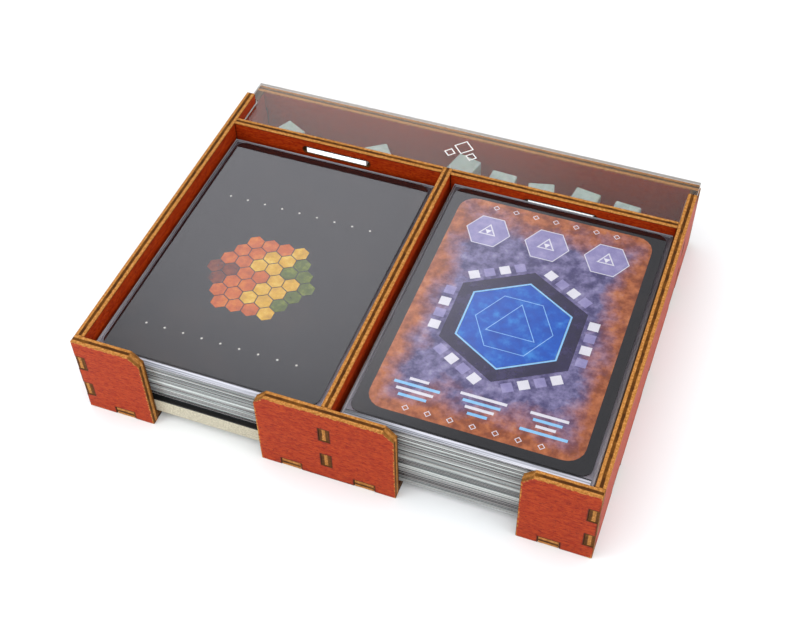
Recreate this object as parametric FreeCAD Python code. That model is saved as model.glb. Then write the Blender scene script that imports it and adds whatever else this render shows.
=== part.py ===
"""Laser-cut plywood card box: open bays for sleeved decks and a rear token compartment under a clear lid.

Millimetres, +Z up, +X to the right, thumb gaps at the front (-Y). The origin is the middle of the underside.
Every plywood piece is drawn flat as its cut outline, tabs and notches included, then stood up in its place.
"""
import FreeCAD, Part
import os

V = FreeCAD.Vector

# Sheet material
sheet = 2.7                     # plywood sold as 3 mm
lid_thickness = 2.0             # clear acrylic
joint_gap = 0.05                # room on each side of a tab in its notch
tab_recess = 0.1                # tab ends stop short of the outer face
overrun = 1.0                   # how far a cutting tool passes the sheet

# Cards and their sleeves, which the bays are made to fit
card_width = 63.5
card_length = 88.0
card_thickness = 0.3
card_corner_radius = 3.0
sleeve_film = 0.08
sleeve_seam = 0.6               # welded edge of a sleeve
sleeve_lip = 2.3                # sleeve beyond the card at its open end
card_play = 0.02                # above and below a card in its sleeve
card_side_play = 0.65           # between a card's long edge and the seam
card_end_play = 0.1             # between a card and the closed end of its sleeve
left_card_count = 30
right_card_count = 44
left_card_slip = 0.05           # how far each left card lies in front of the one below it

# Room inside the box
bay_side_play = 1.2             # on each side of a sleeve
bay_end_play = 1.0              # in front of and behind a sleeve
left_deck_shift = 0.8           # decks lie a little towards the partition
right_deck_shift = 0.6
left_deck_lean = 0.2            # and a little towards the side walls
right_deck_lean = 0.5
deck_headroom = 3.0             # from the taller deck to the top of the walls
token_length = 19.0             # token compartment, front to back

# Boards under the left deck
base_board_count = 2
base_board_thickness = 2.6
board_side_play = 0.6
board_end_play = 0.3

# Front fences
corner_fence_width = 20.2
centre_fence_width = 38.8
fence_chamfer = 3.0

# Fingers that stand up the height of a wall
finger_base = 5.6               # underside of the lowest finger
finger_height = 4.8
finger_pitch = 11.1
finger_count = 2
rear_finger_base = 7.6
rear_finger_height = 8.0

# Tabs along the floor
floor_tab_width = 5.6
corner_tab_inset = 11.5         # middle of a corner fence's tab from the side of the box
centre_tab_spacing = 21.0       # between the middles of the centre fence's tabs
side_tab_width = 9.0
side_tab_shares = (0.2, 0.5, 0.8)       # along the inside length of a side wall
foot_tab_width = 8.0
partition_foot_shares = (0.25, 0.75)    # along each bay's width
divider_foot_shares = (0.3, 0.72)       # along the bay's length
divider_tail_height = 13.0      # part of the divider that laps through the partition

# Thumb notches in the floor, as wide as the gaps between the fences
thumb_depth = 25.0              # from the front of the box
thumb_corner_share = 0.365      # corner radius as a share of the notch's width
arc_lean_share = 1 - 0.5 ** 0.5         # middle of a quarter arc from its tangents' corner, in radii

# Clear lid
lid_drop = 2.9                  # top of the lid below the top of the walls
lid_gap = 0.3                   # around the lid where it lies between walls
lid_tab_width = 19.8
slot_gap = 0.1                  # above and below a lid tab in its slot
ear_length = 9.0                # low rear end of each side wall, where an ear lies
ear_inset = 0.3

# Loose cubes, in pairs that lie on each other
cube_size = 8.0
cube_chamfer = 0.35
cube_place_shares = (           # across and along the token compartment, from its middle
    (-0.92, -0.18), (-0.42, -0.22), (0.02, 0.20), (0.23, -0.14), (0.44, -0.22), (0.65, -0.06), (0.86, -0.24),
)
cube_turns = ((12, -28), (-20, 35), (4, -14), (10, -3), (-12, 14), (6, -9), (13, -5))

# Worked out from the sizes above
sleeved_thickness = card_thickness + 2 * (card_play + sleeve_film)
sleeve_width = card_width + 2 * (card_side_play + sleeve_seam)
sleeve_length = sleeve_lip + card_length + card_end_play + sleeve_seam
bay_width = sleeve_width + 2 * bay_side_play
bay_length = sleeve_length + 2 * bay_end_play
base_board_width = bay_width - 2 * board_side_play
base_board_length = bay_length - 2 * board_end_play
wall_height = sheet + right_card_count * sleeved_thickness + deck_headroom
width = 2 * bay_width + 3 * sheet
depth = bay_length + token_length + 3 * sheet
right = width / 2
left = -right
rear = depth / 2
front = -rear
front_inside = front + sheet
rear_inside = rear - sheet
left_inside = left + sheet
right_inside = right - sheet
partition_front = front_inside + bay_length
partition_rear = partition_front + sheet
bay_centre = (bay_width + sheet) / 2
bay_middle = front_inside + bay_length / 2
ledge = wall_height - lid_drop - lid_thickness
ear_front = rear - ear_length
tab_reach = sheet - tab_recess
notch_reach = -(sheet + joint_gap)


def grown(spans, room=joint_gap):
    """The same spans, wider at both ends by the room a tab needs."""
    return [(low - room, high + room) for low, high in spans]


def spans_about(middles, length):
    """Equal spans about the given middles."""
    return [(middle - length / 2, middle + length / 2) for middle in middles]


def shares_along(low, high, shares):
    """Places between two ends, given as shares of the way."""
    return [low + share * (high - low) for share in shares]


finger_starts = [finger_base + row * finger_pitch for row in range(finger_count)]
finger_spans = [(start, start + finger_height) for start in finger_starts]
rear_finger_spans = [(rear_finger_base, rear_finger_base + rear_finger_height)]
corner_tab_middle = right - corner_tab_inset
centre_tab_middle = centre_tab_spacing / 2
floor_tab_middles = (-corner_tab_middle, -centre_tab_middle, centre_tab_middle, corner_tab_middle)
floor_tab_spans = spans_about(floor_tab_middles, floor_tab_width)
side_tab_spans = spans_about(shares_along(front_inside, rear_inside, side_tab_shares), side_tab_width)
divider_foot_middles = shares_along(front_inside, partition_front, divider_foot_shares)
divider_foot_spans = spans_about(divider_foot_middles, foot_tab_width)
bay_sides = ((left_inside, -sheet / 2), (sheet / 2, right_inside))
partition_foot_middles = [
    place for low, high in bay_sides for place in shares_along(low, high, partition_foot_shares)
]
partition_foot_spans = spans_about(partition_foot_middles, foot_tab_width)


def side(start, end, spans=(), reach=0):
    """Corners of one straight side of an anticlockwise outline.

    Over each span, a low and a high place along the side, the outline steps out by the reach, or in if it is
    negative. The last corner belongs to the next side.
    """
    start, end = V(*start), V(*end)
    along = (end - start).normalize()
    step_out = V(along.y, -along.x) * reach
    forward = along.x + along.y > 0
    corners = [start]
    for span in sorted(spans, reverse=not forward):
        for place, lift in zip(sorted(span * 2, reverse=not forward), (0, 1, 1, 0)):
            on_side = V(place, start.y) if along.x else V(start.x, place)
            corners.append(on_side + step_out * lift)
    return corners


def polygon(corners):
    """A closed wire through the corners."""
    return Part.makePolygon(list(corners) + [corners[0]])


def window(low_u, low_v, high_u, high_v):
    """The wire of a rectangular mortise."""
    return polygon([V(low_u, low_v), V(high_u, low_v), V(high_u, high_v), V(low_u, high_v)])


def slot(middle, length, low, high):
    """The wire of a slot with round ends beyond its straight length."""
    near, far = middle - length / 2, middle + length / 2
    radius = (high - low) / 2
    half_way = (low + high) / 2
    return Part.Wire([
        Part.LineSegment(V(near, low), V(far, low)).toShape(),
        Part.Arc(V(far, low), V(far + radius, half_way), V(far, high)).toShape(),
        Part.LineSegment(V(far, high), V(near, high)).toShape(),
        Part.Arc(V(near, high), V(near - radius, half_way), V(near, low)).toShape(),
    ])


def cut_sheet(corners, thickness, holes=()):
    """A flat piece cut from sheet, lying on the drawing plane."""
    face = Part.makeFace([polygon(corners), *holes], "Part::FaceMakerBullseye")
    return face.extrude(V(0, 0, thickness)).Solids[0]


def stand_across(flat, y):
    """Stands a piece up across the box, drawn as seen from the front, with its front face at y."""
    flat.Placement = FreeCAD.Placement(V(0, y + sheet, 0), FreeCAD.Rotation(V(1, 0, 0), 90))
    return flat


def stand_along(flat, x):
    """Stands a piece up along the box, drawn as seen from the right, with its left face at x."""
    flat.Placement = FreeCAD.Placement(V(x, 0, 0), FreeCAD.Rotation(V(1, 1, 1), 120))
    return flat


def mirrored(shape):
    """The same piece on the other side of the box."""
    return shape.mirror(V(0, 0, 0), V(1, 0, 0))


def corner_fence():
    """Left front fence: open notches for the side wall's fingers and one for the floor's tab."""
    inner = left + corner_fence_width
    corners = side((left, 0), (inner, 0), grown(floor_tab_spans[:1]), notch_reach)
    corners += side((inner, 0), (inner, wall_height - fence_chamfer))
    corners += [V(inner, wall_height - fence_chamfer), V(inner - fence_chamfer, wall_height)]
    corners += side((left, wall_height), (left, 0), grown(finger_spans), notch_reach)
    return stand_across(cut_sheet(corners, sheet), front)


def centre_fence():
    """Middle front fence: both top corners cut off, mortises for the divider's fingers."""
    half = centre_fence_width / 2
    shoulder = wall_height - fence_chamfer
    corners = side((-half, 0), (half, 0), grown(floor_tab_spans[1:-1]), notch_reach)
    corners += [V(half, 0), V(half, shoulder), V(half - fence_chamfer, wall_height)]
    corners += [V(fence_chamfer - half, wall_height), V(-half, shoulder)]
    half_slot = sheet / 2 + joint_gap
    mortises = [window(-half_slot, low, half_slot, high) for low, high in grown(finger_spans)]
    return stand_across(cut_sheet(corners, sheet, mortises), front)


def side_wall():
    """Left wall: fingers at both ends, a low rear end for the lid's ear, mortises for the partition."""
    corners = side((front_inside, 0), (rear_inside, 0), grown(side_tab_spans), notch_reach)
    corners += side((rear_inside, 0), (rear_inside, ledge), rear_finger_spans, tab_reach)
    corners += [V(rear_inside, ledge), V(ear_front, ledge), V(ear_front, wall_height)]
    corners += side((front_inside, wall_height), (front_inside, 0), finger_spans, tab_reach)
    near, far = partition_front - joint_gap, partition_rear + joint_gap
    mortises = [window(near, low, far, high) for low, high in grown(finger_spans)]
    return stand_along(cut_sheet(corners, sheet, mortises), left)


def rear_wall():
    """Low wall behind the tokens: its top carries the lid's rear edge."""
    corners = side((left, 0), (right, 0), grown(floor_tab_spans), notch_reach)
    corners += side((right, 0), (right, ledge), grown(rear_finger_spans), notch_reach)
    corners += [V(right, ledge)]
    corners += side((left, ledge), (left, 0), grown(rear_finger_spans), notch_reach)
    return stand_across(cut_sheet(corners, sheet), rear_inside)


def partition():
    """Cross wall behind the cards: slots for the lid's tabs, an open notch for the divider's tail."""
    notch = grown([(-sheet / 2, sheet / 2)])
    corners = side((left_inside, sheet), (right_inside, sheet), partition_foot_spans, tab_reach)
    corners += side((right_inside, sheet), (right_inside, wall_height), finger_spans, tab_reach)
    corners += side((right_inside, wall_height), (left_inside, wall_height), notch, -divider_tail_height)
    corners += side((left_inside, wall_height), (left_inside, sheet), finger_spans, tab_reach)
    low, high = ledge - slot_gap, ledge + lid_thickness + slot_gap
    slots = [slot(middle, lid_tab_width, low, high) for middle in (-bay_centre, bay_centre)]
    return stand_across(cut_sheet(corners, sheet, slots), partition_front)


def divider():
    """Wall between the card bays: feet in the floor, fingers in the centre fence, a tail in the partition."""
    lap = wall_height - divider_tail_height
    corners = side((front_inside, sheet), (partition_front, sheet), divider_foot_spans, tab_reach)
    corners += [V(partition_front, sheet), V(partition_front, lap), V(partition_rear, lap)]
    corners += [V(partition_rear, wall_height)]
    corners += side((front_inside, wall_height), (front_inside, sheet), finger_spans, tab_reach)
    return stand_along(cut_sheet(corners, sheet), -sheet / 2)


def thumb_notch():
    """The tool that cuts the left thumb notch: a U with round inner corners."""
    low, high = left + corner_fence_width, -centre_fence_width / 2
    radius = thumb_corner_share * (high - low)
    back = front + thumb_depth
    bend = back - radius
    near, far = low + radius, high - radius
    lean = radius * arc_lean_share
    outline = Part.Wire([
        Part.LineSegment(V(low, front), V(high, front)).toShape(),
        Part.LineSegment(V(high, front), V(high, bend)).toShape(),
        Part.Arc(V(high, bend), V(high - lean, back - lean), V(far, back)).toShape(),
        Part.LineSegment(V(far, back), V(near, back)).toShape(),
        Part.Arc(V(near, back), V(low + lean, back - lean), V(low, bend)).toShape(),
        Part.LineSegment(V(low, bend), V(low, front)).toShape(),
    ])
    outline.translate(V(0, 0, -overrun))
    return Part.Face(outline).extrude(V(0, 0, sheet + 2 * overrun))


def floor_panel():
    """Floor: tabs on every side, mortises for the inner walls' feet, a thumb notch in each bay."""
    corners = side((left_inside, front_inside), (right_inside, front_inside), floor_tab_spans, tab_reach)
    corners += side((right_inside, front_inside), (right_inside, rear_inside), side_tab_spans, tab_reach)
    corners += side((right_inside, rear_inside), (left_inside, rear_inside), floor_tab_spans, tab_reach)
    corners += side((left_inside, rear_inside), (left_inside, front_inside), side_tab_spans, tab_reach)
    near, far = partition_front - joint_gap, partition_rear + joint_gap
    mortises = [window(low, near, high, far) for low, high in grown(partition_foot_spans)]
    half_slot = sheet / 2 + joint_gap
    mortises += [window(-half_slot, low, half_slot, high) for low, high in grown(divider_foot_spans)]
    notch = thumb_notch()
    return cut_sheet(corners, sheet, mortises).cut([notch, mirrored(notch)]).Solids[0]


def clear_lid():
    """Acrylic lid: front tabs into the partition, a body between the walls, ears on their low rear ends."""
    half = right_inside - lid_gap
    ear = right - ear_inset
    lid_front = partition_rear + lid_gap
    shoulder = ear_front + lid_gap
    reach = lid_front - partition_front - tab_recess
    tabs = spans_about((-bay_centre, bay_centre), lid_tab_width)
    corners = side((-half, lid_front), (half, lid_front), tabs, reach)
    right_edge = [V(half, lid_front), V(half, shoulder), V(ear, shoulder), V(ear, rear)]
    left_edge = [V(-corner.x, corner.y) for corner in reversed(right_edge[1:])]
    lid = cut_sheet(corners + right_edge + left_edge, lid_thickness)
    return lid.translate(V(0, 0, ledge))


def plates(middle, long_x, long_y, step, count):
    """Equal plates lying on each other, the lowest one's underside about the given middle."""
    corner = middle - V(long_x / 2, long_y / 2, 0)
    return Part.Compound([Part.makeBox(long_x, long_y, step.z, corner + step * row) for row in range(count)])


def top_card(middle):
    """The uppermost card of a deck: round corners, pushed to the closed end of its sleeve."""
    far = sleeve_length / 2 - sleeve_seam - card_end_play
    corner = V(-card_width / 2, far - card_length, sleeve_film + card_play)
    card = Part.makeBox(card_width, card_length, card_thickness, corner)
    uprights = [edge for edge in card.Edges if edge.tangentAt(edge.FirstParameter).z]
    return card.makeFillet(card_corner_radius, uprights).translate(middle)


def top_sleeve(middle):
    """The uppermost card's sleeve: two films welded on three edges and open at the front."""
    sleeve = plates(V(0, 0, 0), sleeve_width, sleeve_length, V(0, 0, sleeved_thickness), 1).Solids[0]
    pocket_width = sleeve_width - 2 * sleeve_seam
    pocket_length = sleeve_length - sleeve_seam + overrun
    pocket_height = sleeved_thickness - 2 * sleeve_film
    corner = V(-pocket_width / 2, -sleeve_length / 2 - overrun, sleeve_film)
    pocket = Part.makeBox(pocket_width, pocket_length, pocket_height, corner)
    return sleeve.cut(pocket).Solids[0].translate(middle)


def token_cube(place, layer, turn):
    """One cube, turned about its own upright axis."""
    cube = Part.makeBox(cube_size, cube_size, cube_size, V(-cube_size / 2, -cube_size / 2, 0))
    cube = cube.makeChamfer(cube_chamfer, cube.Edges)
    cube.rotate(V(0, 0, 0), V(0, 0, 1), turn)
    return cube.translate(place + V(0, 0, sheet + layer * cube_size))


def token_cubes():
    """Pairs of cubes lying on each other in the token compartment."""
    half_width = right_inside - cube_size
    half_length = token_length / 2
    middle = (partition_rear + rear_inside) / 2
    cubes = []
    for (across_share, along_share), turns in zip(cube_place_shares, cube_turns):
        place = V(across_share * half_width, middle + along_share * half_length, 0)
        cubes += [token_cube(place, layer, turn) for layer, turn in enumerate(turns)]
    return Part.Compound(cubes)


left_fence = corner_fence()
left_side = side_wall()
board_place = V(-bay_centre, bay_middle, sheet)
board_step = V(0, 0, base_board_thickness)
left_step = V(0, -left_card_slip, sleeved_thickness)
right_step = V(0, 0, sleeved_thickness)
left_place = board_place + board_step * base_board_count + V(-left_deck_lean, left_deck_shift)
right_place = V(bay_centre + right_deck_lean, bay_middle + right_deck_shift, sheet)
left_under = left_card_count - 1
right_under = right_card_count - 1
left_top = left_place + left_step * left_under
right_top = right_place + right_step * right_under

pieces = {
    "floor_panel": floor_panel(),
    "left_wall": left_side,
    "right_wall": mirrored(left_side),
    "rear_wall": rear_wall(),
    "partition": partition(),
    "divider": divider(),
    "front_fence_left": left_fence,
    "front_fence_centre": centre_fence(),
    "front_fence_right": mirrored(left_fence),
    "clear_lid": clear_lid(),
    "left_base_boards": plates(board_place, base_board_width, base_board_length, board_step, base_board_count),
    "left_card_stack": plates(left_place, sleeve_width, sleeve_length, left_step, left_under),
    "left_top_card": top_card(left_top),
    "left_top_sleeve": top_sleeve(left_top),
    "right_card_stack": plates(right_place, sleeve_width, sleeve_length, right_step, right_under),
    "right_top_card": top_card(right_top),
    "right_top_sleeve": top_sleeve(right_top),
    "token_cubes": token_cubes(),
}

os.makedirs("parts", exist_ok=True)
for name, shape in pieces.items():
    shape.exportStep(f"parts/{name}.step")
    print(name, len(shape.Solids), "solids", round(shape.Volume, 1), "mm3", shape.isValid())
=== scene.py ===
import math
import random

import bpy
from bpy.props import FloatProperty, FloatVectorProperty, IntProperty, PointerProperty
from mathutils import Matrix, Vector


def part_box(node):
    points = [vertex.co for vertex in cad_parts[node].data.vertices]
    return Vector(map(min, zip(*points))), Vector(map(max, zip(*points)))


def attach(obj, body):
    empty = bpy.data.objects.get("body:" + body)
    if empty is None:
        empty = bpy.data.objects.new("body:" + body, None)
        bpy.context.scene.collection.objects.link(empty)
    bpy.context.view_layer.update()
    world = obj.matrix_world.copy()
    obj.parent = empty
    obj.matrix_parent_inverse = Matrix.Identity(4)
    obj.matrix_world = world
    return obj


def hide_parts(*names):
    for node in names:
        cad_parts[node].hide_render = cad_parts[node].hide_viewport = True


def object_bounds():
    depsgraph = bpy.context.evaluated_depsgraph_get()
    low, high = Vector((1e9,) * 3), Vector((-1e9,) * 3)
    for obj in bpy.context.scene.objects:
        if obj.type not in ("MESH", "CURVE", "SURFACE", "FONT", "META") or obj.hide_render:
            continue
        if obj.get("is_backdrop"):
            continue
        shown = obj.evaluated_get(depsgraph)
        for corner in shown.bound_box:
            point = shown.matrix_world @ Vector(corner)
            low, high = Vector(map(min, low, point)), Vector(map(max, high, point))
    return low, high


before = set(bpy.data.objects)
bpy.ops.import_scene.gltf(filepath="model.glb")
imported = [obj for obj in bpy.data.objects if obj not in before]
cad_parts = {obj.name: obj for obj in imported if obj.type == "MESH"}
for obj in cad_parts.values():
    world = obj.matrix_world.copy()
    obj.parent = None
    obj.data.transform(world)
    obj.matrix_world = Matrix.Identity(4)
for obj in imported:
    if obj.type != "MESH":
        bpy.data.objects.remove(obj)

bl_info = {
    "name": "Card Box Looks",
    "version": (1, 0, 0),
    "blender": (4, 5, 0),
    "location": "3D View > Sidebar > Card Box",
    "description": "Plywood, acrylic, cards and cubes of a laser-cut card box, and the stage it stands on",
    "category": "Object",
}

MM = 0.001
ACROSS, ALONG, UP = 0, 1, 2

# A little less than the depth of a notch or the width of a mortise in a plywood sheet.
NOTCH_REACH = 2.5 * MM

# Shine of a coated card under film that lies flat on it.
GLOSS = {"Roughness": 0.07, "IOR": 1.6, "Coat Weight": 1.0, "Coat Roughness": 0.03, "Coat IOR": 1.6}

# Each plywood sheet: the axis through its thickness and the axis its face grain runs along.
SHEETS = {
    "floor_panel": (UP, ACROSS),
    "left_wall": (ACROSS, ALONG),
    "right_wall": (ACROSS, ALONG),
    "rear_wall": (ALONG, ACROSS),
    "partition": (ALONG, ACROSS),
    "divider": (ACROSS, ALONG),
    "front_fence_left": (ALONG, ACROSS),
    "front_fence_centre": (ALONG, ACROSS),
    "front_fence_right": (ALONG, ACROSS),
}

# Each lamp: its place in metres, its turn in radians and the side of its square in metres.
LAMPS = {
    "softbox": ((0.03, -0.22, 0.85), (0.25, 0.035, 0), 1.4),
    "fill": ((0.80, -0.15, 0.20), (0, 1.33, 0), 0.4),
    "front_fill": ((-0.22, -0.24, 0.13), (1.14, 0, -0.75), 0.12),
}

# The lit wall that shiny surfaces mirror: its direction, and the cosines where its light begins and is full.
LIT_WALL = (-0.34, 0.66, 0.67)
LIT_WALL_EDGE, LIT_WALL_MIDDLE = 0.967, 1.0


def colour(code):
    """Linear colour of an sRGB hex code."""
    parts = [int(code[i:i + 2], 16) / 255 for i in (1, 3, 5)]
    return [p / 12.92 if p <= 0.04045 else ((p + 0.055) / 1.055) ** 2.4 for p in parts] + [1.0]


def swatch(name, description, code):
    """A colour that the panel shows."""
    return FloatVectorProperty(name=name, description=description, default=colour(code), size=4,
                               subtype="COLOR", min=0.0, max=1.0)


class CardBoxColours(bpy.types.PropertyGroup):
    """Main colours of the materials, which each material varies."""
    stain: swatch("Stain", "Middle tone of the stained plywood faces", "#A43408")
    tan: swatch("Cut plywood", "Middle tone of a ply that runs along a cut edge", "#C28646")
    acrylic: swatch("Acrylic", "Tint of the lid", "#F3F5F4")
    cubes: swatch("Cubes", "Pale tone of the cubes", "#F0F8F5")
    board: swatch("Board", "Light tone of the chipboard", "#CCC6B2")
    dark_print: swatch("Dark print", "Middle tone of the cards' dark ground", "#141415")
    floor: swatch("Floor", "Studio floor", "#F1F4F6")


class CardBoxSheets(bpy.types.PropertyGroup):
    """Sizes of the worn and rounded edges."""
    ply_bevel: FloatProperty(name="Plywood edge", description="Rounding of a cut plywood edge",
                             default=0.00014, unit="LENGTH")
    rim: FloatProperty(name="Worn rim", description="Width of the worn rim of a plywood face",
                       default=0.0007, unit="LENGTH")
    lid_bevel: FloatProperty(name="Acrylic edge", description="Rounding of the lid's cut edges",
                             default=0.00012, unit="LENGTH")
    board_bevel: FloatProperty(name="Board edge", description="Rounding of the chipboard's edges",
                               default=0.0002, unit="LENGTH")


class CardBoxCards(bpy.types.PropertyGroup):
    """How the sleeved cards lie, and the height of their ink."""
    left_count: IntProperty(name="Left cards", description="Cards under the left deck's top card",
                            default=29)
    right_count: IntProperty(name="Right cards", description="Cards under the right deck's top card",
                             default=43)
    left_slip: FloatProperty(name="Left slip", default=0.00005, unit="LENGTH",
                             description="How far each left card lies in front of the one below")
    slip: FloatProperty(name="Slip", description="How far a card may lie off its deck's middle",
                        default=0.0003, unit="LENGTH")
    gap: FloatProperty(name="Gap", description="Air between two sleeves at their edges",
                       default=0.00012, unit="LENGTH")
    seed: IntProperty(name="Seed", description="Start of the cards' random slip", default=7)
    ink_step: FloatProperty(name="Ink step", description="Height of one printed layer over the last",
                            default=0.000004, unit="LENGTH")


class CardBoxStage(bpy.types.PropertyGroup):
    """Camera, lights and floor."""
    eye: FloatVectorProperty(name="Camera", description="Camera position", subtype="TRANSLATION",
                             default=(0.087023, -0.226618, 0.277185), unit="LENGTH")
    azimuth: FloatProperty(name="Azimuth", description="Camera direction round the object",
                           default=math.radians(21.599), subtype="ANGLE", unit="ROTATION")
    elevation: FloatProperty(name="Elevation", description="Camera direction above the floor",
                             default=math.radians(48.714), subtype="ANGLE", unit="ROTATION")
    roll: FloatProperty(name="Roll", description="Camera turn about its own line of sight",
                        default=math.radians(-1.466), subtype="ANGLE", unit="ROTATION")
    lens: FloatProperty(name="Lens", description="Focal length on a 36 mm sensor",
                        default=56.14, unit="CAMERA")
    floor: FloatProperty(name="Floor", description="Side of the floor", default=1.2, unit="LENGTH")
    dome: FloatProperty(name="Dome", description="Strength of the light from all round", default=0.54)
    patch: FloatProperty(name="Lit wall", description="Strength of the wall that the cards mirror",
                         default=1.75)
    softbox: FloatProperty(name="Softbox", description="Power of the lamp overhead",
                           default=9.5, unit="POWER")
    fill: FloatProperty(name="Fill", description="Power of the lamp at the right",
                        default=2.4, unit="POWER")
    front_fill: FloatProperty(name="Front fill", description="Power of the small lamp at the front left",
                              default=0.25, unit="POWER")


def add(tree, kind, inputs=None, out=0, stops=None, **settings):
    """Adds one shader node and gives back one of its outputs.

    Inputs are plain values or other nodes' outputs, by socket name or number. By number, Map Range takes its
    value as 0, its old range as 1 and 2 and its new one as 3 and 4, and Mix takes its share as 0, numbers as
    2 and 3 and colours as 6 and 7. Stops are the places and colours of a colour ramp, each colour as a hex
    code or from the panel.
    """
    node = tree.nodes.new(kind)
    for name, value in settings.items():
        setattr(node, name, value)
    for place, code in stops or ():
        known = node.color_ramp.elements
        stop = known[0] if place == 0 else known[-1] if place == 1 else known.new(place)
        stop.color = colour(code) if isinstance(code, str) else code
    for name, value in (inputs or {}).items():
        if isinstance(value, bpy.types.NodeSocket):
            tree.links.new(value, node.inputs[name])
        else:
            node.inputs[name].default_value = value
    return node.outputs[out] if node.outputs else node


def repeats(*sizes):
    """Repeats per metre of a pattern whose sizes are given in millimetres."""
    return [1 / (size * MM) for size in sizes]


def material(name):
    """An empty material and its node tree."""
    made = bpy.data.materials.new(name)
    made.use_nodes = True
    made.node_tree.nodes.clear()
    return made, made.node_tree


def mottled(name, stops, grain, sockets, bump=0.0):
    """A material with a soft pattern: colours by stops, grain and bump in millimetres, the rest by socket."""
    made, tree = material(name)
    place = add(tree, "ShaderNodeTexCoord", out="Object")
    cloud = add(tree, "ShaderNodeTexNoise", {
        "Vector": place, "Scale": 1 / (grain * MM), "Detail": 5.0, "Roughness": 0.6})
    inputs = {"Base Color": add(tree, "ShaderNodeValToRGB", {0: cloud}, stops=stops), **sockets}
    if bump:
        inputs["Normal"] = add(tree, "ShaderNodeBump", {
            "Height": cloud, "Distance": bump * MM, "Strength": 1.0})
    shader = add(tree, "ShaderNodeBsdfPrincipled", inputs)
    add(tree, "ShaderNodeOutputMaterial", {"Surface": shader})
    return made


def stained_face():
    """Red stain on birch: streaks along the grain, dark pores, pale chips on worn rims, soot about joints."""
    colours = bpy.context.scene.card_box_colours
    made, tree = material("Red stained birch plywood")
    grain_uv = add(tree, "ShaderNodeUVMap", uv_map="Grain")
    own = add(tree, "ShaderNodeObjectInfo", out="Random")
    shifted = add(tree, "ShaderNodeVectorMath", {0: grain_uv, 1: own}, operation="ADD")
    streak_place = add(tree, "ShaderNodeVectorMath", {0: shifted, 1: repeats(1.8, 0.53, 1000)},
                       operation="MULTIPLY")
    streaks = add(tree, "ShaderNodeTexNoise", {
        "Vector": streak_place, "Scale": 1.0, "Detail": 6.0, "Roughness": 0.65, "Distortion": 0.4})
    stain = add(tree, "ShaderNodeValToRGB", {0: streaks}, stops=(
        (0, "#5E0800"), (0.36, "#8A1C00"), (0.52, colours.stain), (0.66, "#B2400C"), (1, "#D07030")))
    pore_place = add(tree, "ShaderNodeVectorMath", {0: shifted, 1: repeats(0.6, 0.36, 1000)},
                     operation="MULTIPLY")
    pores = add(tree, "ShaderNodeTexNoise", {
        "Vector": pore_place, "Scale": 1.0, "Detail": 3.0, "Roughness": 0.5})
    pore = add(tree, "ShaderNodeMapRange", {0: pores, 1: 0.54, 2: 0.68, 3: 0.0, 4: 0.6})
    flecked = add(tree, "ShaderNodeMix", {0: pore, 6: stain, 7: colour("#560C03")}, out=2, data_type="RGBA")
    rim = add(tree, "ShaderNodeAttribute", out="Fac", attribute_name="rim")
    soot = add(tree, "ShaderNodeMapRange", {0: rim, 1: -0.4, 2: -1.0, 3: 0.0, 4: 0.9})
    sooty = add(tree, "ShaderNodeMix", {0: soot, 6: flecked, 7: colour("#200A02")}, out=2, data_type="RGBA")
    nick_place = add(tree, "ShaderNodeVectorMath", {0: shifted, 1: repeats(0.8, 0.6, 1000)},
                     operation="MULTIPLY")
    nicks = add(tree, "ShaderNodeTexNoise", {"Vector": nick_place, "Scale": 1.0, "Detail": 2.0})
    dots = add(tree, "ShaderNodeMapRange", {0: nicks, 1: 0.40, 2: 0.58})
    worn = add(tree, "ShaderNodeMath", {0: rim, 1: dots}, operation="MULTIPLY")
    chip = add(tree, "ShaderNodeMapRange", {0: worn, 1: 0.42, 2: 0.56, 3: 0.0, 4: 0.9})
    chipped = add(tree, "ShaderNodeMix", {0: chip, 6: sooty, 7: colour("#BC8438")}, out=2, data_type="RGBA")
    normal = add(tree, "ShaderNodeBump", {"Height": streaks, "Distance": 0.06 * MM, "Strength": 0.6})
    shader = add(tree, "ShaderNodeBsdfPrincipled", {
        "Base Color": chipped, "Roughness": 0.5, "Specular IOR Level": 0.13, "Normal": normal})
    add(tree, "ShaderNodeOutputMaterial", {"Surface": shader})
    return made


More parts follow.
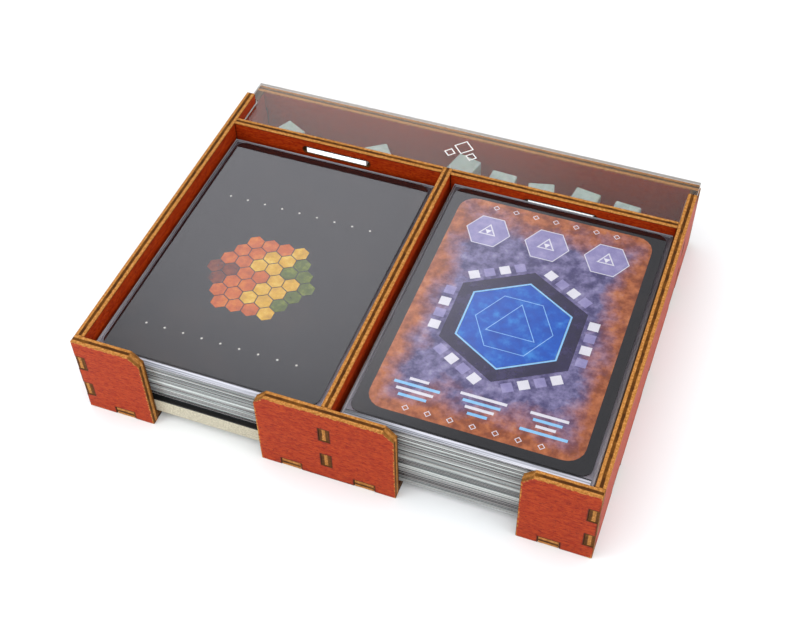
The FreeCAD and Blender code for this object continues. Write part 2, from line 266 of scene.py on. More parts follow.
def cut_edge():
    """Laser-cut edge: three plies, tan along the grain and charred brown across it, black in the joints."""
    colours = bpy.context.scene.card_box_colours
    made, tree = material("Laser-cut birch plywood edge")
    grain_uv = add(tree, "ShaderNodeUVMap", uv_map="Grain")
    waver = add(tree, "ShaderNodeTexNoise", {
        "Vector": grain_uv, "Scale": 1 / (2.4 * MM), "Detail": 4.0, "Roughness": 0.6})
    depth = add(tree, "ShaderNodeAttribute", out="Fac", attribute_name="ply_depth")
    offset = add(tree, "ShaderNodeMapRange", {0: waver, 1: 0.2, 2: 0.8, 3: -0.55, 4: -0.45})
    from_middle = add(tree, "ShaderNodeMath", {0: depth, 1: offset}, operation="ADD")
    middle = add(tree, "ShaderNodeMath", {0: from_middle}, operation="ABSOLUTE")
    veneer = add(tree, "ShaderNodeMapRange", {0: middle, 1: 0.13, 2: 0.20})
    end = add(tree, "ShaderNodeAttribute", out="Fac", attribute_name="end_grain")
    flipped = add(tree, "ShaderNodeMapRange", {0: middle, 1: 0.13, 2: 0.20, 3: 1.0, 4: 0.05})
    light = add(tree, "ShaderNodeMix", {0: end, 2: veneer, 3: flipped}, data_type="FLOAT")
    streaks = add(tree, "ShaderNodeTexNoise", {
        "Vector": grain_uv, "Scale": 1 / (0.67 * MM), "Detail": 3.0, "Roughness": 0.7})
    tan = add(tree, "ShaderNodeValToRGB", {0: streaks}, stops=(
        (0, "#57310F"), (0.42, "#9E672C"), (0.6, colours.tan), (1, "#F4C68C")))
    char = add(tree, "ShaderNodeValToRGB", {0: waver}, stops=(
        (0, "#221002"), (0.45, "#472607"), (0.6, "#60380D"), (1, "#8E6022")))
    plies = add(tree, "ShaderNodeMix", {0: light, 6: char, 7: tan}, out=2, data_type="RGBA")
    scorch = add(tree, "ShaderNodeMapRange", {0: middle, 1: 0.42, 2: 0.50, 3: 0.0, 4: 0.25})
    burnt = add(tree, "ShaderNodeMix", {0: scorch, 6: plies, 7: colour("#3A1605")}, out=2, data_type="RGBA")
    joint = add(tree, "ShaderNodeAttribute", out="Fac", attribute_name="joint")
    charred = add(tree, "ShaderNodeMix", {0: joint, 6: burnt, 7: colour("#241004")}, out=2, data_type="RGBA")
    normal = add(tree, "ShaderNodeBump", {"Height": streaks, "Distance": 0.08 * MM, "Strength": 0.7})
    shader = add(tree, "ShaderNodeBsdfPrincipled", {
        "Base Color": charred, "Roughness": 0.6, "Specular IOR Level": 0.1, "Normal": normal})
    add(tree, "ShaderNodeOutputMaterial", {"Surface": shader})
    return made


def clear_acrylic():
    """Cast acrylic: bends what lies behind it, mirrors the room and lets light through to the tokens."""
    made, tree = material("Clear cast acrylic")
    glass = add(tree, "ShaderNodeBsdfPrincipled", {
        "Base Color": bpy.context.scene.card_box_colours.acrylic, "Roughness": 0.015, "IOR": 1.49,
        "Transmission Weight": 1.0})
    through = add(tree, "ShaderNodeBsdfTransparent", {"Color": colour("#BAC0C1")})
    shadow = add(tree, "ShaderNodeLightPath", out="Is Shadow Ray")
    shader = add(tree, "ShaderNodeMixShader", {0: shadow, 1: glass, 2: through})
    add(tree, "ShaderNodeOutputMaterial", {"Surface": shader})
    return made


def lit_edge(name, stops, glow):
    """Cut side of the acrylic with painted light: pale colours and a white glow stand in for the light that
    the sheet gathers and lets out at its cut sides.
    """
    return mottled(name, stops, 1.5, {
        "Roughness": 0.4, "Emission Color": colour("#FFFFFF"), "Emission Strength": glow})


def sleeve_film():
    """Clear sleeve film: it lies flat on the card, which has its shine, and only tints what is under it."""
    made, tree = material("Clear sleeve film")
    shader = add(tree, "ShaderNodeBsdfTransparent", {"Color": colour("#F7F7F9")})
    add(tree, "ShaderNodeOutputMaterial", {"Surface": shader})
    return made


def sleeve_margin():
    """Film beyond the cards, layer on layer, with painted shade: silver at the deck's front, darker grey
    towards the partition.
    """
    made, tree = material("Layered sleeve film")
    place = add(tree, "ShaderNodeTexCoord", out="Object")
    along = add(tree, "ShaderNodeSeparateXYZ", {0: place}, out="Y")
    cloud = add(tree, "ShaderNodeTexNoise", {"Vector": place, "Scale": 1 / (11 * MM), "Detail": 2.0})
    wavy = add(tree, "ShaderNodeMath", {0: cloud, 1: 30 * MM, 2: along}, operation="MULTIPLY_ADD")
    # Painted shade: the colour darkens along a wavy line from the deck's front back to the partition.
    back = add(tree, "ShaderNodeMapRange", {0: wavy, 1: -45 * MM, 2: 30 * MM})
    shade = add(tree, "ShaderNodeValToRGB", {0: back}, stops=(
        (0, "#BDB8B9"), (0.35, "#8E8887"), (1, "#645D5D")))
    shader = add(tree, "ShaderNodeBsdfPrincipled", {"Base Color": shade, "Roughness": 0.25, "IOR": 1.5})
    add(tree, "ShaderNodeOutputMaterial", {"Surface": shader})
    return made


def sleeve_lip(name, painted_shade):
    """Open ends of the top sleeves: fine lines, with painted light across them: duller to the left, white to
    the right.
    """
    made, tree = material(name)
    place = add(tree, "ShaderNodeTexCoord", out="Object")
    across = add(tree, "ShaderNodeSeparateXYZ", {0: place}, out="X")
    line_place = add(tree, "ShaderNodeVectorMath", {0: place, 1: repeats(40, 0.45, 1000)},
                     operation="MULTIPLY")
    lines = add(tree, "ShaderNodeTexNoise", {"Vector": line_place, "Scale": 1.0, "Detail": 2.0})
    # Painted light: the tone rises from the given painted shade at the left to near white at the right.
    light = add(tree, "ShaderNodeMapRange", {0: across, 1: 12 * MM, 2: 50 * MM, 3: painted_shade, 4: -0.15})
    tone = add(tree, "ShaderNodeMath", {0: lines, 1: 1.8, 2: light}, operation="MULTIPLY_ADD")
    shade = add(tree, "ShaderNodeValToRGB", {0: tone}, stops=(
        (0, "#3C4042"), (0.35, "#787D80"), (0.5, "#A6A9AE"), (0.7, "#DEE0E5"), (1, "#F8F9FA")))
    shader = add(tree, "ShaderNodeBsdfPrincipled", {"Base Color": shade, "Roughness": 0.2, "IOR": 1.5})
    add(tree, "ShaderNodeOutputMaterial", {"Surface": shader})
    return made


def sleeve_edges():
    """Edges of stacked sleeves: silver film with card lines between, no two alike."""
    made, tree = material("Stacked sleeve edges")
    tone = add(tree, "ShaderNodeAttribute", out="Fac", attribute_name="tone")
    place = add(tree, "ShaderNodeTexCoord", out="Object")
    run = add(tree, "ShaderNodeVectorMath", {0: place, 1: repeats(17, 17, 0.2)}, operation="MULTIPLY")
    drift = add(tree, "ShaderNodeTexNoise", {"Vector": run, "Scale": 1.0, "Detail": 2.0})
    mixed = add(tree, "ShaderNodeMix", {0: 0.36, 2: tone, 3: drift}, data_type="FLOAT")
    shade = add(tree, "ShaderNodeValToRGB", {0: mixed}, stops=(
        (0, "#0E1011"), (0.32, "#2C3233"), (0.44, "#666E6E"), (0.56, "#8C9594"), (0.68, "#C6CECC"),
        (1, "#F2F6F4")))
    shader = add(tree, "ShaderNodeBsdfPrincipled", {"Base Color": shade, "Roughness": 0.22, "IOR": 1.5})
    add(tree, "ShaderNodeOutputMaterial", {"Surface": shader})
    return made


def faded_ink(centre, half):
    """Cloudy print: warm rust along the border that fades raggedly into a violet mist in the middle."""
    made, tree = material("Rust and violet ink")
    place = add(tree, "ShaderNodeTexCoord", out="Object")
    away = add(tree, "ShaderNodeVectorMath", {0: place, 1: centre}, operation="SUBTRACT")
    distance = add(tree, "ShaderNodeVectorMath", {0: away}, operation="ABSOLUTE")
    share = add(tree, "ShaderNodeVectorMath", {0: distance, 1: half}, operation="DIVIDE")
    across = add(tree, "ShaderNodeSeparateXYZ", {0: share}, out="X")
    along = add(tree, "ShaderNodeSeparateXYZ", {0: share}, out="Y")
    edge = add(tree, "ShaderNodeMath", {0: across, 1: along}, operation="MAXIMUM")
    broad = add(tree, "ShaderNodeTexNoise", {
        "Vector": place, "Scale": 1 / (9 * MM), "Detail": 6.0, "Roughness": 0.6})
    fine = add(tree, "ShaderNodeTexNoise", {
        "Vector": place, "Scale": 1 / (3.2 * MM), "Detail": 6.0, "Roughness": 0.65})
    ragged = add(tree, "ShaderNodeMath", {0: broad, 1: 0.6, 2: edge}, operation="MULTIPLY_ADD")
    fade = add(tree, "ShaderNodeMapRange", {0: ragged, 1: 0.98, 2: 1.24})
    violet = add(tree, "ShaderNodeValToRGB", {0: fine}, stops=(
        (0, "#1E1A34"), (0.40, "#4A4470"), (0.58, "#7E779F"), (1, "#D2CBE0")))
    rust = add(tree, "ShaderNodeValToRGB", {0: fine}, stops=(
        (0, "#451806"), (0.40, "#8E441C"), (0.58, "#BC6A38"), (1, "#EEA86E")))
    print_colour = add(tree, "ShaderNodeMix", {0: fade, 6: violet, 7: rust}, out=2, data_type="RGBA")
    shader = add(tree, "ShaderNodeBsdfPrincipled", {"Base Color": print_colour, **GLOSS})
    add(tree, "ShaderNodeOutputMaterial", {"Surface": shader})
    return made


def token_plastic():
    """Milky mint plastic of the cubes: light passes in and scatters, edges glint."""
    pale = bpy.context.scene.card_box_colours.cubes
    return mottled("Milky translucent plastic", ((0, "#8CA299"), (1, pale)), 2.2, {
        "Roughness": 0.2, "IOR": 1.49, "Transmission Weight": 0.35, "Subsurface Weight": 0.3,
        "Subsurface Scale": 0.003})


def seen_ray(tree):
    """One for rays that show the background itself, straight or through the acrylic, zero for all others."""
    path = add(tree, "ShaderNodeLightPath").node.outputs
    straight, through = path["Is Camera Ray"], path["Is Transmission Ray"]
    return add(tree, "ShaderNodeMath", {0: straight, 1: through}, operation="MAXIMUM")


def studio_floor(reach):
    """Plain near-white floor that keeps the soft shadow and runs out into the white of the room."""
    made, tree = material("White studio floor")
    place = add(tree, "ShaderNodeTexCoord", out="Object")
    away = add(tree, "ShaderNodeVectorMath", {0: place}, out="Value", operation="LENGTH")
    rim = add(tree, "ShaderNodeMapRange", {0: away, 1: 0.5 * reach, 2: 0.95 * reach},
              interpolation_type="SMOOTHSTEP")
    white = add(tree, "ShaderNodeMath", {0: rim, 1: seen_ray(tree)}, operation="MULTIPLY")
    paper = add(tree, "ShaderNodeBsdfPrincipled", {
        "Base Color": bpy.context.scene.card_box_colours.floor, "Roughness": 0.6})
    room = add(tree, "ShaderNodeEmission", {"Color": colour("#FFFFFF"), "Strength": 1.0})
    shader = add(tree, "ShaderNodeMixShader", {0: white, 1: paper, 2: room})
    add(tree, "ShaderNodeOutputMaterial", {"Surface": shader})
    return made


def only(piece):
    """Selects one piece and nothing else."""
    bpy.ops.object.select_all(action="DESELECT")
    piece.select_set(True)
    bpy.context.view_layer.objects.active = piece


def new_piece(title, data=None):
    """A piece at the origin, empty or with the given mesh, alone in the selection."""
    piece = bpy.data.objects.new(title, data or bpy.data.meshes.new(title))
    bpy.context.scene.collection.objects.link(piece)
    only(piece)
    return piece


def clean_copy(node, title):
    """A copy of a CAD node with its loose triangles merged into whole faces."""
    piece = new_piece(title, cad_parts[node].data.copy())
    piece.data.materials.clear()
    bpy.ops.object.mode_set(mode="EDIT")
    bpy.ops.mesh.select_all(action="SELECT")
    bpy.ops.mesh.customdata_custom_splitnormals_clear()
    bpy.ops.mesh.remove_doubles(threshold=MM / 200)
    bpy.ops.mesh.dissolve_limited(angle_limit=math.radians(0.4))
    bpy.ops.object.mode_set(mode="OBJECT")
    return piece


def bevelled(piece, width):
    """Takes the sharpness off the edges of a piece."""
    only(piece)
    rounding = piece.modifiers.new("Rounding", "BEVEL")
    rounding.width = width
    rounding.segments = 1
    rounding.limit_method = "ANGLE"
    rounding.angle_limit = math.radians(30)
    rounding.use_clamp_overlap = False
    rounding.loop_slide = False
    bpy.ops.object.modifier_apply(modifier=rounding.name)


def handed_in(piece, body, slot, *nodes):
    """Ties a finished piece to its body and hides the CAD nodes it stands for; the slot is not used."""
    if not piece.data.polygons or None in piece.data.materials[:] or not piece.data.materials:
        raise RuntimeError(f"{piece.name} has no faces or no material")
    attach(piece, body)
    if nodes:
        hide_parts(*nodes)


def faces_joint(polygon, through, low, high):
    """Whether a cut face of a sheet looks into a mortise or a notch, not out of the sheet's outline."""
    ahead = polygon.normal.copy()
    ahead[through] = 0.0
    if not polygon.material_index or ahead.length < 0.1:
        return False
    place = polygon.center + ahead.normalized() * NOTCH_REACH
    return all(low[axis] < place[axis] < high[axis] for axis in (ACROSS, ALONG, UP) if axis != through)


def mark(mesh, name, domain, values):
    """Gives a mesh an attribute that its material reads."""
    mesh.attributes.new(name, "FLOAT", domain).data.foreach_set("value", values)


class CARDBOX_OT_plywood(bpy.types.Operator):
    """Dresses the nine plywood sheets: worn faces, three plies on every cut edge"""
    bl_idname = "card_box.plywood"
    bl_label = "Plywood Sheets"

    def execute(self, context):
        sizes = context.scene.card_box_sheets
        face, edge = stained_face(), cut_edge()
        for node, (through, grain) in SHEETS.items():
            sheet = clean_copy(node, node + "_ply")
            bevelled(sheet, sizes.ply_bevel)
            mesh = sheet.data
            low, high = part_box(node)
            for vertex in mesh.vertices:
                vertex.co = [min(max(c, a), b) for c, a, b in zip(vertex.co, low, high)]
            mesh.materials.append(face)
            mesh.materials.append(edge)
            self.rims(mesh, through, sizes.rim)
            self.joints(mesh, through, low, high)
            self.plies(mesh, through, grain)
            handed_in(sheet, "tray", "stained_plywood", node)
        return {"FINISHED"}

    def rims(self, mesh, through, width):
        """Parts faces from cut edges, and parts a rim from each face, whose inside stays selected."""
        for polygon in mesh.polygons:
            polygon.select = abs(polygon.normal[through]) > 0.99
            polygon.material_index = 0 if polygon.select else 1
        bpy.ops.object.mode_set(mode="EDIT")
        bpy.ops.mesh.select_mode(type="FACE")
        bpy.ops.mesh.inset(thickness=width, use_boundary=True, use_even_offset=True)
        bpy.ops.object.mode_set(mode="OBJECT")

    def joints(self, mesh, through, low, high):
        """Marks the cut faces in joints, and the rims: one where they are worn, minus one where soot lies."""
        inner = {v for polygon in mesh.polygons if polygon.select for v in polygon.vertices}
        inside = [faces_joint(polygon, through, low, high) for polygon in mesh.polygons]
        sooty = {v for polygon in mesh.polygons if inside[polygon.index] for v in polygon.vertices}
        mark(mesh, "rim", "POINT", [
            0.0 if v.index in inner else -1.0 if v.index in sooty else 1.0 for v in mesh.vertices])
        mark(mesh, "joint", "FACE", [0.8 if charred else 0.0 for charred in inside])

    def plies(self, mesh, through, grain):
        """Marks the depth in the sheet and the end grain, and lays the grain's map in metres."""
        low = min(v.co[through] for v in mesh.vertices)
        high = max(v.co[through] for v in mesh.vertices)
        mark(mesh, "ply_depth", "POINT", [(v.co[through] - low) / (high - low) for v in mesh.vertices])
        mark(mesh, "end_grain", "FACE", [min(1.0, abs(p.normal[grain])) for p in mesh.polygons])
        mesh.uv_layers.new(name="Grain")
        bpy.ops.object.mode_set(mode="EDIT")
        bpy.ops.mesh.select_all(action="SELECT")
        bpy.ops.uv.cube_project(cube_size=1.0, correct_aspect=False)
        bpy.ops.object.mode_set(mode="OBJECT")


def ink_shape(corners, radius, place, turn, ink, line=0.0):
    """Prints one flat regular shape in edit mode, whole or, with a line width, as its outline."""
    bpy.ops.mesh.select_all(action="DESELECT")
    bpy.ops.mesh.primitive_circle_add(
        vertices=corners, radius=radius, fill_type="NGON", location=place, rotation=(0, 0, turn))
    bpy.context.object.active_material_index = ink
    bpy.ops.object.material_slot_assign()
    if line:
        bpy.ops.mesh.inset(thickness=line)
        bpy.ops.mesh.delete(type="FACE")


def ink_panel(wide, long, place, ink, corner=0.0):
    """Prints one flat rectangle in edit mode, with round corners if they have a radius."""
    bpy.ops.mesh.select_all(action="DESELECT")
    bpy.ops.mesh.primitive_plane_add(size=1, location=place)
    bpy.ops.transform.resize(value=(wide, long, 1), center_override=place)
    if corner:
        bpy.ops.mesh.bevel(offset=corner, segments=5, affect="VERTICES")
    bpy.context.object.active_material_index = ink
    bpy.ops.object.material_slot_assign()


class CARDBOX_OT_lid(bpy.types.Operator):
    """Makes the clear lid and the frosted mark engraved in it"""
    bl_idname = "card_box.lid"
    bl_label = "Clear Lid"

    def execute(self, context):
        lid = clean_copy("clear_lid", "clear_lid_acrylic")
        bevelled(lid, context.scene.card_box_sheets.lid_bevel)
        lid.data.materials.append(clear_acrylic())
        # Painted light: the lid's front cut ends glow white and its other cut sides glow faintly, in pale
        # colours.
        lid.data.materials.append(lit_edge("Acrylic cut end", ((0, "#C9CCCC"), (1, "#E4E6E6")), 0.7))
        lid.data.materials.append(lit_edge("Acrylic cut edge", ((0, "#968C88"), (1, "#B9B2AE")), 0.12))
        hair = 0.01 * MM
        low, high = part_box("clear_lid")
        for polygon in lid.data.polygons:
            side = abs(polygon.normal.z) < 0.5
            polygon.material_index = 1 if polygon.center.y < low.y + hair else 2 if side else 0
        # A hair of air under the lid, which otherwise shares its face with the walls it lies on.
        for vertex in lid.data.vertices:
            vertex.co.z = max(vertex.co.z, low.z + hair)
        handed_in(lid, "lid", "clear_acrylic", "clear_lid")

        engraving = new_piece("lid_engraving")
        # Engraved lines: the rough acrylic scatters light and stands out white from the clear sheet.
        engraving.data.materials.append(mottled(
            "Frosted engraving", ((0, "#CFCBC9"), (1, "#F0EDEB")), 0.4, {"Roughness": 0.7}))
        line = 0.4 * MM
        squares = ((0.5, 51.6, 3.2), (-2.9, 48.2, 1.9), (3.9, 48.2, 1.9))
        bpy.ops.object.mode_set(mode="EDIT")
        for x, y, radius in squares:
            ink_shape(4, radius * MM, Vector((x * MM, y * MM, high.z + hair)), 0.0, 0, line)
        bpy.ops.object.mode_set(mode="OBJECT")
        handed_in(engraving, "lid", "clear_acrylic")
        return {"FINISHED"}


class CARDBOX_OT_boards(bpy.types.Operator):
    """Makes the two chipboards under the left deck, black on top and raw at the edges"""
    bl_idname = "card_box.boards"
    bl_label = "Base Boards"

    def execute(self, context):
        boards = clean_copy("left_base_boards", "left_base_boards_chip")
        bevelled(boards, context.scene.card_box_sheets.board_bevel)
        # Cut board: cream pulp with grey fibres, dull and a little rough.
        light = context.scene.card_box_colours.board
        raw = mottled("Raw chipboard", ((0, "#8A846F"), (0.42, "#B2AC98"), (0.6, light), (1, "#E8E3D2")),
                      0.5, {"Roughness": 0.85, "Specular IOR Level": 0.2}, 0.06)
        # Board top: the upward faces are near black and read as a dark line over the cream edge.
        dark = mottled("Black printed board", ((0, "#050505"), (1, "#131314")), 2.0, {"Roughness": 0.5})
        boards.data.materials.append(raw)
        boards.data.materials.append(dark)
        for polygon in boards.data.polygons:
            polygon.material_index = 1 if polygon.normal.z > 0.5 else 0
        handed_in(boards, "left_deck", "chipboard", "left_base_boards")
        return {"FINISHED"}


class CARDBOX_OT_stacks(bpy.types.Operator):
    """Makes the sleeved cards under the top card of each deck, each a little out of line"""
    bl_idname = "card_box.stacks"
    bl_label = "Card Stacks"

    def execute(self, context):
        cards = context.scene.card_box_cards
        silver, margin = sleeve_edges(), sleeve_margin()
        chance = random.Random(cards.seed)
        # Usual tones of the sleeves' edges, from dark to light, darker at the right deck. Painted shade: the
        # lowest cards at the left take the darkest tone.
        left_tone, right_tone = 0.55, 0.26
        shaded_left_cards = 4
        for side, count, forward, usual in (("left", cards.left_count, cards.left_slip, left_tone),
                                            ("right", cards.right_count, 0.0, right_tone)):
            node = side + "_card_stack"
            stack = new_piece(node + "_sleeves")
            stack.data.materials.append(silver)
            stack.data.materials.append(margin)
            bpy.ops.object.mode_set(mode="EDIT")
            self.sleeves(cards, node, count, forward, chance)
            bpy.ops.object.mode_set(mode="OBJECT")
            tones = [chance.triangular(0.1, 1.0, usual) for row in range(count)]
            if side == "left":
                tones[:shaded_left_cards] = [0.0] * shaded_left_cards
            faces = len(stack.data.polygons) // count
            mark(stack.data, "tone", "FACE", [tones[p.index // faces] for p in stack.data.polygons])
            for polygon in stack.data.polygons:
                polygon.material_index = 1 if abs(polygon.normal.z) > 0.5 else 0
            handed_in(stack, side + "_deck", "sleeved_cards", node)
        return {"FINISHED"}

    def sleeves(self, cards, node, count, forward, chance):
        """One thin block for each sleeved card, from the lowest up."""
        low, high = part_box(node)
        step = (high.z - low.z) / count
        long = high.y - low.y - (count - 1) * forward
        size = (high.x - low.x, long, step - cards.gap)
        middle = (low.x + high.x) / 2
        for row in range(count):
            place = Vector((middle, high.y - long / 2 - row * forward, low.z + (row + 0.5) * step))
            place.x += cards.slip * chance.uniform(-0.6, 0.6)
            place.y += cards.slip * chance.uniform(-0.9, 0.4)
            bpy.ops.mesh.select_all(action="DESELECT")
            bpy.ops.mesh.primitive_cube_add(size=1, location=place)
            bpy.ops.transform.resize(value=size, center_override=place)


class CARDBOX_OT_top_cards(bpy.types.Operator):
    """Makes the top card of each deck with a plain printed pattern, under its sleeve's film"""
    bl_idname = "card_box.top_cards"
    bl_label = "Top Cards"

    def execute(self, context):
        step = context.scene.card_box_cards.ink_step
        film = sleeve_film()
        # Seam: the welded film at a sleeve's sides, milky and paler than the film.
        seam = mottled("Welded sleeve seam", ((0, "#8A8D92"), (1, "#D4D6DA")), 6.0, {"Roughness": 0.2})
        # Dark print: near black with broad, faintly warm clouds, under the film's shine.
        dark = context.scene.card_box_colours.dark_print
        night = mottled("Coated card, dark print", ((0, "#09090A"), (0.5, dark), (1, "#33271F")), 16.0, GLOSS)
        # Each deck's lip takes its own amount of painted shade at its left end.
        for side, draw, lip_film in (
                ("left", self.left_print, sleeve_lip("Grey sleeve lip", -0.28)),
                ("right", self.right_print, sleeve_lip("Pale sleeve lip", -0.56))):
            node = side + "_top_card"
            card = clean_copy(node, node + "_printed")
            card.data.materials.append(night)
            handed_in(card, side + "_deck", "printed_card", node)
            low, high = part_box(node)
            centre = Vector(((low.x + high.x) / 2, (low.y + high.y) / 2, high.z))
            ink = new_piece(node + "_ink")
            bpy.ops.object.mode_set(mode="EDIT")
            draw(ink, centre, step)
            bpy.ops.object.mode_set(mode="OBJECT")
            handed_in(ink, side + "_deck", "printed_card")
            sleeve = clean_copy(side + "_top_sleeve", side + "_top_sleeve_film")
            sleeve.data.materials.append(film)
            sleeve.data.materials.append(seam)
            for polygon in sleeve.data.polygons:
                polygon.material_index = 0 if abs(polygon.normal.z) > 0.5 else 1
            handed_in(sleeve, side + "_deck", "clear_film", side + "_top_sleeve")
            self.lip(side, lip_film, night)
        return {"FINISHED"}

    def lip(self, side, film, night):
        """The empty lip of a deck's top sleeve, where film lies on film, and a dark strip of painted shade in
        the gap at the card.
        """
        side_room = 0.8 * MM
        end_room = 0.1 * MM
        gap = 0.4 * MM
        height = 0.15 * MM
        low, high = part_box(side + "_top_sleeve")
        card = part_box(side + "_top_card")[0]
        lip = new_piece(side + "_sleeve_lip")
        lip.data.materials.append(film)
        lip.data.materials.append(night)
        bpy.ops.object.mode_set(mode="EDIT")
        wide = high.x - low.x - 2 * side_room
        long = card.y - low.y - 2 * end_room - gap
        place = Vector(((low.x + high.x) / 2, low.y + end_room + long / 2, card.z + height))
        ink_panel(wide, long, place, 0)
        # Painted shade: a strip of the card's dark print in the gap before the card's edge.
        place.y += (long + gap) / 2
        ink_panel(wide, gap, place, 1)
        bpy.ops.object.mode_set(mode="OBJECT")
        handed_in(lip, side + "_deck", "clear_film")

    def left_print(self, ink, centre, step):
        """A honeycomb of warm tiles from umber through gold to olive, and two rows of pale lozenges."""
        for name, stops in (
                ("Umber ink", ((0, "#2A0C00"), (0.5, "#6A2404"), (1, "#A0460C"))),  # embers at the left
                ("Orange ink", ((0, "#7A2600"), (0.5, "#C65A04"), (1, "#F09A1C"))),  # the warm middle
                ("Gold ink", ((0, "#8A5804"), (0.5, "#D8A41C"), (1, "#FBE068"))),  # the bright side
                ("Olive ink", ((0, "#1A2402"), (0.5, "#55640C"), (1, "#A8B034"))),  # the cool right end
                ("Pale ink", ((0, "#B9B6A8"), (1, "#E8E6DC")))):  # small bright points on the dark
            ink.data.materials.append(mottled(name, stops, 2.4, GLOSS))
        umber, olive, pale = 0, 3, 4
        hub = centre + Vector((-1.0 * MM, -7.0 * MM, step))

        rings = 3
        tile = 2.7 * MM
        tile_share = 0.94
        reach, span, scatter = 6, 3.2, 0.35
        for row in range(-rings, rings + 1):
            for column in range(max(-rings, -row - rings), min(rings, rings - row) + 1):
                away = Vector((3 ** 0.5 * (column + row / 2), 1.5 * row, 0)) * tile
                from_left = (away.x / tile + reach) / (2 * reach)
                warmth = from_left * span + scatter * ((2 * row + 3 * column) % 3 - 1)
                ink_shape(6, tile_share * tile, hub + away, 0.0, max(umber, min(olive, round(warmth))))

        count = 9
        pitch = 5.6 * MM
        radius = 0.4 * MM
        behind, before = 27.5 * MM, -26.0 * MM
        for column in range(count):
            across = (column - (count - 1) / 2) * pitch
            for along in (behind, before):
                ink_shape(4, radius, hub + Vector((across, along, 0)), 0.0, pale)

    def right_print(self, ink, centre, step):
        """A rust border fading into violet, a blue hexagon in a ring of tiles, plates, bars and lozenges."""
        half = Vector((28.75 * MM, 41.0 * MM, 0))
        ink.data.materials.append(faded_ink(centre, half))
        for name, stops in (
                ("Blue ink", ((0, "#042A86"), (0.5, "#0A58BE"), (1, "#4AAEF0"))),  # deep blue with pale veins
                ("Pale blue ink", ((0, "#5FB4EC"), (1, "#B5E2FA"))),  # bright outline of the hexagon
                ("White ink", ((0, "#D8D6DC"), (1, "#F4F3F6"))),  # fine lines and bars
                ("Dusk ink", ((0, "#120F22"), (0.5, "#2A2446"), (1, "#4A4270"))),  # shade about the hexagon
                ("Lilac ink", ((0, "#6E6798"), (0.5, "#958EBA"), (1, "#C4BEDC")))):  # plates and tiles
            ink.data.materials.append(mottled(name, stops, 3.2, GLOSS))
        faded, blue, pale_blue, white, dusk, lilac = range(6)
        base, shade, tile, line, top = (centre + Vector((0, 0, step * layer)) for layer in range(1, 6))
        fine, thin, bold, broad = 0.2 * MM, 0.25 * MM, 0.35 * MM, 0.5 * MM
        flat_top, point_down = math.radians(30), math.radians(60)

        def at(layer, x, y):
            """A place on one layer of ink, in millimetres from the card's middle."""
            return layer + Vector((x * MM, y * MM, 0))

        corner = 5.0 * MM
        ink_panel(2 * half.x, 2 * half.y, base, faded, corner)

        hub_y = -3.0
        for corners, radius, layer, turn, tone, width in (
                (6, 20.6, shade, 0.0, dusk, 0.0),
                (6, 15.6, tile, 0.0, blue, 0.0),
                (6, 16.3, line, 0.0, pale_blue, broad),
                (6, 11.0, line, flat_top, pale_blue, fine),
                (3, 8.0, line, 0.0, pale_blue, fine)):
            ink_shape(corners, radius * MM, at(layer, 0, hub_y), turn, tone, width)

        ring = 20.4 * MM
        ring_tile = 2.1 * MM
        side_count = 4
        side_pitch = 4.4 * MM
        for turn in range(0, 360, 60):
            out = Vector((math.cos(math.radians(turn)), math.sin(math.radians(turn)), 0))
            for row in range(side_count):
                along = out.cross((0, 0, 1)) * (row - (side_count - 1) / 2) * side_pitch
                place = at(tile, 0, hub_y) + out * ring + along
                ink_shape(4, ring_tile, place, math.radians(turn + 45), lilac if row % 2 else white)

        column_pitch = 17.5
        plate_y = 29.0
        bar_y = -29.5
        bar_pitch = 1.9
        bar_count = 4
        bar_long = 0.9 * MM
        widest, narrower = 12.5, 2.4
        for column in (-1, 0, 1):
            x = column_pitch * column
            for corners, radius, layer, turn, tone, width in (
                    (6, 6.6, tile, flat_top, lilac, 0.0),
                    (6, 6.6, line, flat_top, white, thin),
                    (3, 3.0, line, 0.0, white, bold),
                    (3, 1.1, top, point_down, white, 0.0)):
                ink_shape(corners, radius * MM, at(layer, x, plate_y), turn, tone, width)
            for row in range(bar_count):
                wide = (widest - narrower * ((row + column) % bar_count)) * MM
                place = at(line, x, bar_y - bar_pitch * row)
                ink_panel(wide, bar_long, place, pale_blue if row % 2 else white)

        lozenge = 1.0 * MM
        lozenge_pitch = 6.0
        lozenge_y = 38.9
        for column in range(-3, 4):
            for y in (lozenge_y, -lozenge_y):
                ink_shape(4, lozenge, at(line, column * lozenge_pitch, y), 0.0, white, fine)


class CARDBOX_OT_cubes(bpy.types.Operator):
    """Makes the translucent cubes in the token compartment"""
    bl_idname = "card_box.cubes"
    bl_label = "Token Cubes"

    def execute(self, context):
        cubes = clean_copy("token_cubes", "token_cubes_plastic")
        cubes.data.materials.append(token_plastic())
        handed_in(cubes, "tray", "translucent_cubes", "token_cubes")
        return {"FINISHED"}


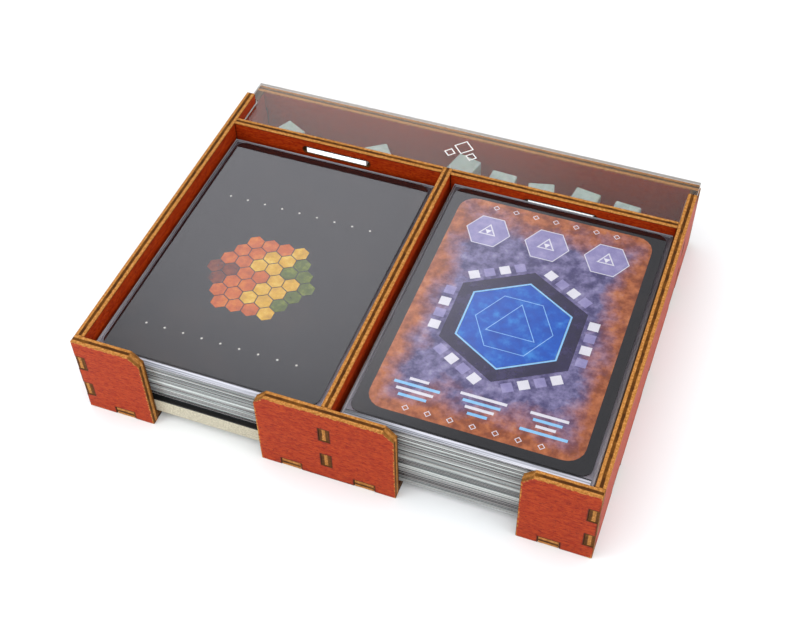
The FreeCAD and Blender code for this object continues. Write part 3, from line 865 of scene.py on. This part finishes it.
class CARDBOX_OT_stage(bpy.types.Operator):
    """Sets the white floor, the soft light and the camera"""
    bl_idname = "card_box.stage"
    bl_label = "Stage"

    def execute(self, context):
        stage = context.scene.card_box_stage
        self.floor(context, stage)
        self.lamps(context, stage)
        self.room(context.scene, stage)
        self.camera(context, stage)
        context.scene.view_settings.view_transform = "Standard"
        return {"FINISHED"}

    def floor(self, context, stage):
        """A pale floor just under the part."""
        height = -0.05 * MM
        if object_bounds()[0][UP] < height:
            raise RuntimeError("The part reaches below the floor")
        bpy.ops.object.select_all(action="DESELECT")
        bpy.ops.mesh.primitive_plane_add(size=stage.floor, location=(0, 0, height))
        floor = context.object
        floor.name = "floor"
        floor.data.materials.append(studio_floor(stage.floor / 2))
        floor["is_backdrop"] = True

    def lamps(self, context, stage):
        """Square soft lamps, each at the power that the panel gives it."""
        for name, (place, turn, size) in LAMPS.items():
            bpy.ops.object.light_add(type="AREA", location=place, rotation=turn)
            lamp = context.object
            lamp.name = name
            lamp.data.size = size
            lamp.data.energy = getattr(stage, name)

    def room(self, scene, stage):
        """White to the eye; shiny surfaces mirror a lit wall behind the box and a dimmer room elsewhere."""
        scene.world = bpy.data.worlds.new("White room")
        scene.world.use_nodes = True
        tree = scene.world.node_tree
        tree.nodes.clear()
        direction = add(tree, "ShaderNodeTexCoord", out="Generated")
        nearness = add(tree, "ShaderNodeVectorMath", {0: direction, 1: LIT_WALL},
                       out="Value", operation="DOT_PRODUCT")
        wall = add(tree, "ShaderNodeMapRange", {
            0: nearness, 1: LIT_WALL_EDGE, 2: LIT_WALL_MIDDLE, 3: stage.dome, 4: stage.patch},
            interpolation_type="SMOOTHSTEP")
        strength = add(tree, "ShaderNodeMix", {0: seen_ray(tree), 2: wall, 3: 1.0}, data_type="FLOAT")
        light = add(tree, "ShaderNodeBackground", {"Color": colour("#FFFFFF"), "Strength": strength})
        add(tree, "ShaderNodeOutputWorld", {"Surface": light})

    def camera(self, context, stage):
        """The camera, turned by its azimuth and elevation and then about its own line of sight."""
        level = math.cos(stage.elevation)
        back = Vector((math.sin(stage.azimuth) * level, -math.cos(stage.azimuth) * level,
                       math.sin(stage.elevation)))
        right = Vector((math.cos(stage.azimuth), math.sin(stage.azimuth), 0))
        above = back.cross(right)
        turned_right = math.cos(stage.roll) * right + math.sin(stage.roll) * above
        turned_up = math.cos(stage.roll) * above - math.sin(stage.roll) * right
        bpy.ops.object.camera_add()
        camera = context.object
        camera.name = "camera"
        facing = Matrix((turned_right, turned_up, back)).transposed().to_4x4()
        camera.matrix_world = Matrix.Translation(stage.eye) @ facing
        camera.data.lens = stage.lens
        camera.data.sensor_width = 36.0
        camera.data.clip_start = 0.01
        camera.data.clip_end = 50.0
        context.scene.camera = camera


OPERATORS = (
    CARDBOX_OT_plywood, CARDBOX_OT_lid, CARDBOX_OT_boards, CARDBOX_OT_stacks, CARDBOX_OT_top_cards,
    CARDBOX_OT_cubes, CARDBOX_OT_stage,
)
GROUPS = {
    "card_box_colours": CardBoxColours, "card_box_sheets": CardBoxSheets, "card_box_cards": CardBoxCards,
    "card_box_stage": CardBoxStage,
}


class CARDBOX_PT_panel(bpy.types.Panel):
    """Buttons, colours and sizes of the card box"""
    bl_idname = "CARDBOX_PT_panel"
    bl_label = "Card Box"
    bl_space_type = "VIEW_3D"
    bl_region_type = "UI"
    bl_category = "Card Box"

    def draw(self, context):
        for operator in OPERATORS:
            self.layout.operator(operator.bl_idname)
        for title, kind in GROUPS.items():
            for name in kind.__annotations__:
                self.layout.prop(getattr(context.scene, title), name)


def register():
    for name, group in GROUPS.items():
        bpy.utils.register_class(group)
        setattr(bpy.types.Scene, name, PointerProperty(type=group))
    for part in (*OPERATORS, CARDBOX_PT_panel):
        bpy.utils.register_class(part)


def unregister():
    for part in (CARDBOX_PT_panel, *reversed(OPERATORS)):
        bpy.utils.unregister_class(part)
    for name, group in GROUPS.items():
        delattr(bpy.types.Scene, name)
        bpy.utils.unregister_class(group)


def main():
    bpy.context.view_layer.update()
    register()
    bpy.ops.card_box.plywood()
    bpy.ops.card_box.lid()
    bpy.ops.card_box.boards()
    bpy.ops.card_box.stacks()
    bpy.ops.card_box.top_cards()
    bpy.ops.card_box.cubes()
    bpy.ops.card_box.stage()


if __name__ == "__main__":
    main()
